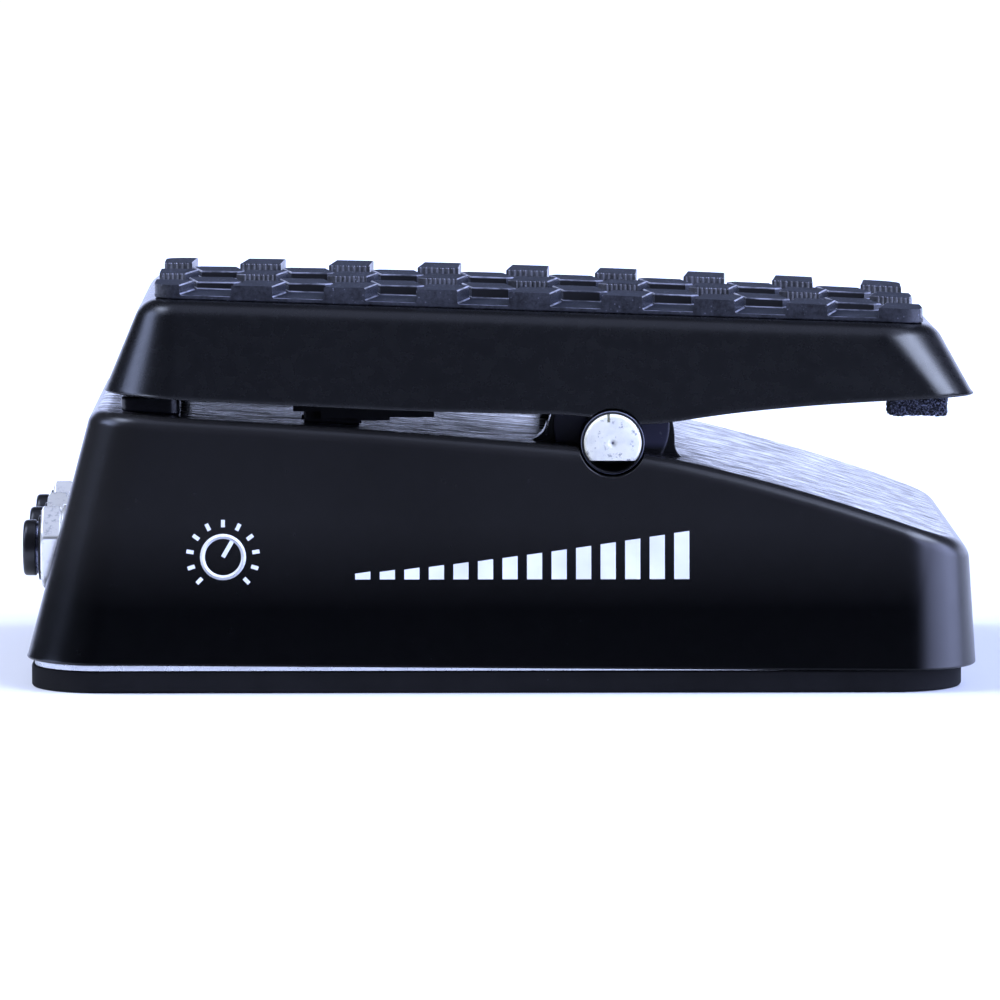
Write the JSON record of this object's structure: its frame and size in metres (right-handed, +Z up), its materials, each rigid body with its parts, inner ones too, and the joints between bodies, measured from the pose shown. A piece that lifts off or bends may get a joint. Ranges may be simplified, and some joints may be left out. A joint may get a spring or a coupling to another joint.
{
  "type": "volume pedal",
  "caption": "Compact foot-operated volume pedal: a rubber-topped rocking treadle on a cast base turns a potentiometer through a thin steel band; audio jacks at the toe end.",
  "frame": {"origin": "centre of the base footprint on the resting face", "axes": "+X along the pedal towards the heel (the jacks are at -X), +Y across the pedal, +Z up"},
  "size_m": [0.1594, 0.0992, 0.0666],
  "materials": {
    "base_paint": "satin black powder coat",
    "treadle_paint": "satin black powder coat",
    "tread_rubber": "moulded ribbed rubber",
    "pad_rubber": "matt sheet rubber with fine dust",
    "bumper_rubber": "matt",
    "foam": "open-cell foam",
    "steel": "bright machined",
    "screw_steel": "zinc plated",
    "chrome": "bright nickel plate",
    "jack_plastic": "moulded black",
    "nylon": "moulded black nylon",
    "aluminium": "cast and machined",
    "brass": "machined",
    "board": "solder-masked glass laminate",
    "cable": "insulated cable"
  },
  "bodies": {
    "base": {"base_housing": "base_paint", "bottom_plate": "steel", "bottom_rubber_pad": "pad_rubber", "bracket_screw_heel": "screw_steel", "bracket_screw_toe": "screw_steel", "circuit_board": "board", "input_jack": "jack_plastic", "input_jack_nut": "chrome", "input_jack_tip_spring": "brass", "input_jack_washer": "chrome", "output_jack": "jack_plastic", "output_jack_nut": "chrome", "output_jack_tip_spring": "brass", "output_jack_washer": "chrome", "pivot_bushing_far": "nylon", "pivot_bushing_near": "nylon", "plate_screw_heel_far": "screw_steel", "plate_screw_heel_near": "screw_steel", "plate_screw_toe_far": "screw_steel", "plate_screw_toe_near": "screw_steel", "potentiometer_bracket": "screw_steel", "potentiometer_cable": "cable", "potentiometer_case": "aluminium", "potentiometer_nut": "screw_steel", "potentiometer_washer": "screw_steel", "toe_bumper_far": "bumper_rubber", "toe_bumper_near": "bumper_rubber", "tuner_jack": "jack_plastic", "tuner_jack_nut": "chrome", "tuner_jack_tip_spring": "brass", "tuner_jack_washer": "chrome"},
    "treadle": {"band_clamp_lower": "screw_steel", "band_clamp_upper": "screw_steel", "clamp_screw_lower": "screw_steel", "clamp_screw_upper": "screw_steel", "drive_band": "steel", "drive_sector": "aluminium", "heel_foam_pad_far": "foam", "heel_foam_pad_near": "foam", "pivot_shaft": "steel", "sector_screw_heel": "screw_steel", "sector_screw_toe": "screw_steel", "shaft_screw_far": "screw_steel", "shaft_screw_near": "screw_steel", "tread_rubber": "tread_rubber", "treadle_shell": "treadle_paint"},
    "potentiometer_rotor": {"potentiometer_shaft": "aluminium", "band_drum": "brass", "band_wrap": "steel"}
  },
  "joints": [
    {"name": "treadle_pivot", "type": "hinge", "parent": "base", "child": "treadle", "pos_m": [0.01835, 0, 0.04118], "axis": [0, 1, 0], "range_deg": [0, 19.3]},
    {"name": "potentiometer_spin", "type": "hinge", "parent": "base", "child": "potentiometer_rotor", "pos_m": [-0.03646, 0, 0.02923], "axis": [0, 1, 0], "range_deg": [-226.97, 0]}
  ],
  "couplings": [
    {"joint": "potentiometer_spin", "follows": "treadle_pivot", "ratio": -11.76}
  ]
}
